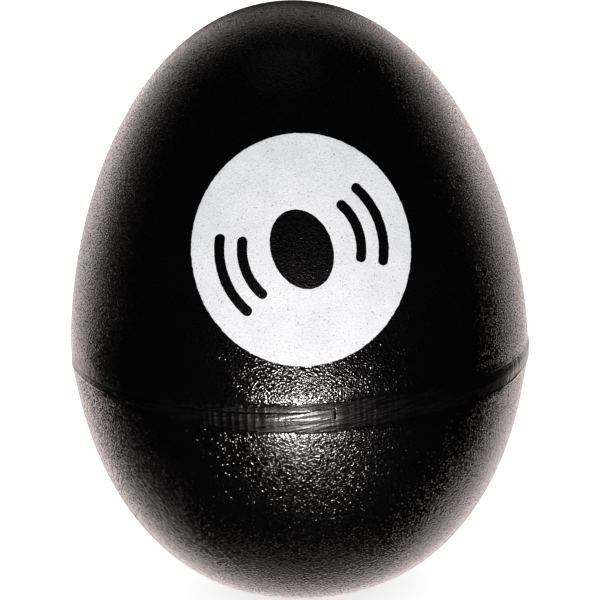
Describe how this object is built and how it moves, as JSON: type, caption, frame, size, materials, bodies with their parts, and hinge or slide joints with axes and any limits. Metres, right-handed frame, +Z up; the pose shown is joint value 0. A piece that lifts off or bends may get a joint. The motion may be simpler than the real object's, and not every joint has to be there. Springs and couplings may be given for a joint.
{
  "type": "egg shaker",
  "caption": "Egg-shaped plastic hand shaker: two welded half shells with a printed roundel and a loose charge of steel pellets sealed inside.",
  "frame": {"origin": "middle of the small rest flat under the blunt end, the lowest point of the egg", "axes": "+Z up the egg's axis to the pointed end, -Y out of the front through the roundel, +X to the right of someone facing the roundel"},
  "size_m": [0.0454, 0.0454, 0.06],
  "materials": {
    "shell": "black moulded plastic with a fine spark-eroded grain, satin sheen, scraped smooth along the seam",
    "weld": "black fused plastic, smooth and dull",
    "white_ink": "opaque white pad-printed ink, thin enough for the shell's grain to show through",
    "steel": "plain steel shot, dull bright"
  },
  "bodies": {
    "shell": {"upper_shell": "shell", "lower_shell": "shell", "weld_bead": "weld", "roundel": "white_ink"},
    "pellet_01_lower": {"pellet_01_lower": "steel"},
    "pellet_01_upper": {"pellet_01_upper": "steel"},
    "pellet_02_lower": {"pellet_02_lower": "steel"},
    "pellet_02_upper": {"pellet_02_upper": "steel"},
    "pellet_03_lower": {"pellet_03_lower": "steel"},
    "pellet_03_upper": {"pellet_03_upper": "steel"},
    "pellet_04_lower": {"pellet_04_lower": "steel"},
    "pellet_04_upper": {"pellet_04_upper": "steel"},
    "pellet_05_lower": {"pellet_05_lower": "steel"},
    "pellet_05_upper": {"pellet_05_upper": "steel"},
    "pellet_06_lower": {"pellet_06_lower": "steel"},
    "pellet_06_upper": {"pellet_06_upper": "steel"},
    "pellet_07_lower": {"pellet_07_lower": "steel"},
    "pellet_07_upper": {"pellet_07_upper": "steel"},
    "pellet_08_lower": {"pellet_08_lower": "steel"},
    "pellet_08_upper": {"pellet_08_upper": "steel"},
    "pellet_09_lower": {"pellet_09_lower": "steel"},
    "pellet_09_upper": {"pellet_09_upper": "steel"},
    "pellet_10_lower": {"pellet_10_lower": "steel"},
    "pellet_10_upper": {"pellet_10_upper": "steel"},
    "pellet_11_lower": {"pellet_11_lower": "steel"},
    "pellet_11_upper": {"pellet_11_upper": "steel"},
    "pellet_12_lower": {"pellet_12_lower": "steel"},
    "pellet_12_upper": {"pellet_12_upper": "steel"},
    "pellet_13_lower": {"pellet_13_lower": "steel"},
    "pellet_13_upper": {"pellet_13_upper": "steel"},
    "pellet_14_lower": {"pellet_14_lower": "steel"},
    "pellet_14_upper": {"pellet_14_upper": "steel"},
    "pellet_15_lower": {"pellet_15_lower": "steel"},
    "pellet_15_upper": {"pellet_15_upper": "steel"},
    "pellet_16_lower": {"pellet_16_lower": "steel"},
    "pellet_16_upper": {"pellet_16_upper": "steel"},
    "pellet_17_lower": {"pellet_17_lower": "steel"},
    "pellet_17_upper": {"pellet_17_upper": "steel"},
    "pellet_18_lower": {"pellet_18_lower": "steel"},
    "pellet_18_upper": {"pellet_18_upper": "steel"},
    "pellet_19_lower": {"pellet_19_lower": "steel"},
    "pellet_19_upper": {"pellet_19_upper": "steel"},
    "pellet_20_lower": {"pellet_20_lower": "steel"},
    "pellet_21_lower": {"pellet_21_lower": "steel"},
    "pellet_22_lower": {"pellet_22_lower": "steel"},
    "pellet_23_lower": {"pellet_23_lower": "steel"},
    "pellet_24_lower": {"pellet_24_lower": "steel"},
    "pellet_25_lower": {"pellet_25_lower": "steel"},
    "pellet_26_lower": {"pellet_26_lower": "steel"},
    "pellet_27_lower": {"pellet_27_lower": "steel"},
    "pellet_28_lower": {"pellet_28_lower": "steel"},
    "pellet_29_lower": {"pellet_29_lower": "steel"},
    "pellet_30_lower": {"pellet_30_lower": "steel"},
    "pellet_31_lower": {"pellet_31_lower": "steel"},
    "pellet_32_lower": {"pellet_32_lower": "steel"},
    "pellet_33_lower": {"pellet_33_lower": "steel"},
    "pellet_34_lower": {"pellet_34_lower": "steel"},
    "pellet_35_lower": {"pellet_35_lower": "steel"},
    "pellet_36_lower": {"pellet_36_lower": "steel"},
    "pellet_37_lower": {"pellet_37_lower": "steel"}
  },
  "joints": [
    {"name": "pellet_01_lower_toss", "type": "slide", "parent": "shell", "child": "pellet_01_lower", "axis": [0, 0, 1], "range_m": [0, 0.023]},
    {"name": "pellet_01_upper_toss", "type": "slide", "parent": "pellet_01_lower", "child": "pellet_01_upper", "axis": [0, 0, 1], "range_m": [0, 0.023]},
    {"name": "pellet_02_lower_toss", "type": "slide", "parent": "shell", "child": "pellet_02_lower", "axis": [0, 0, 1], "range_m": [0, 0.0222]},
    {"name": "pellet_02_upper_toss", "type": "slide", "parent": "pellet_02_lower", "child": "pellet_02_upper", "axis": [0, 0, 1], "range_m": [0, 0.0222]},
    {"name": "pellet_03_lower_toss", "type": "slide", "parent": "shell", "child": "pellet_03_lower", "axis": [0, 0, 1], "range_m": [0, 0.0222]},
    {"name": "pellet_03_upper_toss", "type": "slide", "parent": "pellet_03_lower", "child": "pellet_03_upper", "axis": [0, 0, 1], "range_m": [0, 0.0222]},
    {"name": "pellet_04_lower_toss", "type": "slide", "parent": "shell", "child": "pellet_04_lower", "axis": [0, 0, 1], "range_m": [0, 0.0222]},
    {"name": "pellet_04_upper_toss", "type": "slide", "parent": "pellet_04_lower", "child": "pellet_04_upper", "axis": [0, 0, 1], "range_m": [0, 0.0222]},
    {"name": "pellet_05_lower_toss", "type": "slide", "parent": "shell", "child": "pellet_05_lower", "axis": [0, 0, 1], "range_m": [0, 0.0222]},
    {"name": "pellet_05_upper_toss", "type": "slide", "parent": "pellet_05_lower", "child": "pellet_05_upper", "axis": [0, 0, 1], "range_m": [0, 0.0222]},
    {"name": "pellet_06_lower_toss", "type": "slide", "parent": "shell", "child": "pellet_06_lower", "axis": [0, 0, 1], "range_m": [0, 0.0222]},
    {"name": "pellet_06_upper_toss", "type": "slide", "parent": "pellet_06_lower", "child": "pellet_06_upper", "axis": [0, 0, 1], "range_m": [0, 0.0222]},
    {"name": "pellet_07_lower_toss", "type": "slide", "parent": "shell", "child": "pellet_07_lower", "axis": [0, 0, 1], "range_m": [0, 0.0222]},
    {"name": "pellet_07_upper_toss", "type": "slide", "parent": "pellet_07_lower", "child": "pellet_07_upper", "axis": [0, 0, 1], "range_m": [0, 0.0222]},
    {"name": "pellet_08_lower_toss", "type": "slide", "parent": "shell", "child": "pellet_08_lower", "axis": [0, 0, 1], "range_m": [0, 0.0203]},
    {"name": "pellet_08_upper_toss", "type": "slide", "parent": "pellet_08_lower", "child": "pellet_08_upper", "axis": [0, 0, 1], "range_m": [0, 0.0203]},
    {"name": "pellet_09_lower_toss", "type": "slide", "parent": "shell", "child": "pellet_09_lower", "axis": [0, 0, 1], "range_m": [0, 0.0203]},
    {"name": "pellet_09_upper_toss", "type": "slide", "parent": "pellet_09_lower", "child": "pellet_09_upper", "axis": [0, 0, 1], "range_m": [0, 0.0203]},
    {"name": "pellet_10_lower_toss", "type": "slide", "parent": "shell", "child": "pellet_10_lower", "axis": [0, 0, 1], "range_m": [0, 0.0203]},
    {"name": "pellet_10_upper_toss", "type": "slide", "parent": "pellet_10_lower", "child": "pellet_10_upper", "axis": [0, 0, 1], "range_m": [0, 0.0203]},
    {"name": "pellet_11_lower_toss", "type": "slide", "parent": "shell", "child": "pellet_11_lower", "axis": [0, 0, 1], "range_m": [0, 0.0203]},
    {"name": "pellet_11_upper_toss", "type": "slide", "parent": "pellet_11_lower", "child": "pellet_11_upper", "axis": [0, 0, 1], "range_m": [0, 0.0203]},
    {"name": "pellet_12_lower_toss", "type": "slide", "parent": "shell", "child": "pellet_12_lower", "axis": [0, 0, 1], "range_m": [0, 0.0203]},
    {"name": "pellet_12_upper_toss", "type": "slide", "parent": "pellet_12_lower", "child": "pellet_12_upper", "axis": [0, 0, 1], "range_m": [0, 0.0203]},
    {"name": "pellet_13_lower_toss", "type": "slide", "parent": "shell", "child": "pellet_13_lower", "axis": [0, 0, 1], "range_m": [0, 0.0203]},
    {"name": "pellet_13_upper_toss", "type": "slide", "parent": "pellet_13_lower", "child": "pellet_13_upper", "axis": [0, 0, 1], "range_m": [0, 0.0203]},
    {"name": "pellet_14_lower_toss", "type": "slide", "parent": "shell", "child": "pellet_14_lower", "axis": [0, 0, 1], "range_m": [0, 0.0193]},
    {"name": "pellet_14_upper_toss", "type": "slide", "parent": "pellet_14_lower", "child": "pellet_14_upper", "axis": [0, 0, 1], "range_m": [0, 0.0193]},
    {"name": "pellet_15_lower_toss", "type": "slide", "parent": "shell", "child": "pellet_15_lower", "axis": [0, 0, 1], "range_m": [0, 0.0193]},
    {"name": "pellet_15_upper_toss", "type": "slide", "parent": "pellet_15_lower", "child": "pellet_15_upper", "axis": [0, 0, 1], "range_m": [0, 0.0193]},
    {"name": "pellet_16_lower_toss", "type": "slide", "parent": "shell", "child": "pellet_16_lower", "axis": [0, 0, 1], "range_m": [0, 0.0193]},
    {"name": "pellet_16_upper_toss", "type": "slide", "parent": "pellet_16_lower", "child": "pellet_16_upper", "axis": [0, 0, 1], "range_m": [0, 0.0193]},
    {"name": "pellet_17_lower_toss", "type": "slide", "parent": "shell", "child": "pellet_17_lower", "axis": [0, 0, 1], "range_m": [0, 0.0193]},
    {"name": "pellet_17_upper_toss", "type": "slide", "parent": "pellet_17_lower", "child": "pellet_17_upper", "axis": [0, 0, 1], "range_m": [0, 0.0193]},
    {"name": "pellet_18_lower_toss", "type": "slide", "parent": "shell", "child": "pellet_18_lower", "axis": [0, 0, 1], "range_m": [0, 0.0193]},
    {"name": "pellet_18_upper_toss", "type": "slide", "parent": "pellet_18_lower", "child": "pellet_18_upper", "axis": [0, 0, 1], "range_m": [0, 0.0193]},
    {"name": "pellet_19_lower_toss", "type": "slide", "parent": "shell", "child": "pellet_19_lower", "axis": [0, 0, 1], "range_m": [0, 0.0193]},
    {"name": "pellet_19_upper_toss", "type": "slide", "parent": "pellet_19_lower", "child": "pellet_19_upper", "axis": [0, 0, 1], "range_m": [0, 0.0193]},
    {"name": "pellet_20_lower_toss", "type": "slide", "parent": "shell", "child": "pellet_20_lower", "axis": [0, 0, 1], "range_m": [0, 0.0366]},
    {"name": "pellet_21_lower_toss", "type": "slide", "parent": "shell", "child": "pellet_21_lower", "axis": [0, 0, 1], "range_m": [0, 0.0366]},
    {"name": "pellet_22_lower_toss", "type": "slide", "parent": "shell", "child": "pellet_22_lower", "axis": [0, 0, 1], "range_m": [0, 0.0366]},
    {"name": "pellet_23_lower_toss", "type": "slide", "parent": "shell", "child": "pellet_23_lower", "axis": [0, 0, 1], "range_m": [0, 0.0366]},
    {"name": "pellet_24_lower_toss", "type": "slide", "parent": "shell", "child": "pellet_24_lower", "axis": [0, 0, 1], "range_m": [0, 0.0366]},
    {"name": "pellet_25_lower_toss", "type": "slide", "parent": "shell", "child": "pellet_25_lower", "axis": [0, 0, 1], "range_m": [0, 0.0366]},
    {"name": "pellet_26_lower_toss", "type": "slide", "parent": "shell", "child": "pellet_26_lower", "axis": [0, 0, 1], "range_m": [0, 0.0366]},
    {"name": "pellet_27_lower_toss", "type": "slide", "parent": "shell", "child": "pellet_27_lower", "axis": [0, 0, 1], "range_m": [0, 0.0366]},
    {"name": "pellet_28_lower_toss", "type": "slide", "parent": "shell", "child": "pellet_28_lower", "axis": [0, 0, 1], "range_m": [0, 0.0366]},
    {"name": "pellet_29_lower_toss", "type": "slide", "parent": "shell", "child": "pellet_29_lower", "axis": [0, 0, 1], "range_m": [0, 0.0366]},
    {"name": "pellet_30_lower_toss", "type": "slide", "parent": "shell", "child": "pellet_30_lower", "axis": [0, 0, 1], "range_m": [0, 0.0366]},
    {"name": "pellet_31_lower_toss", "type": "slide", "parent": "shell", "child": "pellet_31_lower", "axis": [0, 0, 1], "range_m": [0, 0.0366]},
    {"name": "pellet_32_lower_toss", "type": "slide", "parent": "shell", "child": "pellet_32_lower", "axis": [0, 0, 1], "range_m": [0, 0.0313]},
    {"name": "pellet_33_lower_toss", "type": "slide", "parent": "shell", "child": "pellet_33_lower", "axis": [0, 0, 1], "range_m": [0, 0.0313]},
    {"name": "pellet_34_lower_toss", "type": "slide", "parent": "shell", "child": "pellet_34_lower", "axis": [0, 0, 1], "range_m": [0, 0.0313]},
    {"name": "pellet_35_lower_toss", "type": "slide", "parent": "shell", "child": "pellet_35_lower", "axis": [0, 0, 1], "range_m": [0, 0.0313]},
    {"name": "pellet_36_lower_toss", "type": "slide", "parent": "shell", "child": "pellet_36_lower", "axis": [0, 0, 1], "range_m": [0, 0.0313]},
    {"name": "pellet_37_lower_toss", "type": "slide", "parent": "shell", "child": "pellet_37_lower", "axis": [0, 0, 1], "range_m": [0, 0.0313]}
  ]
}
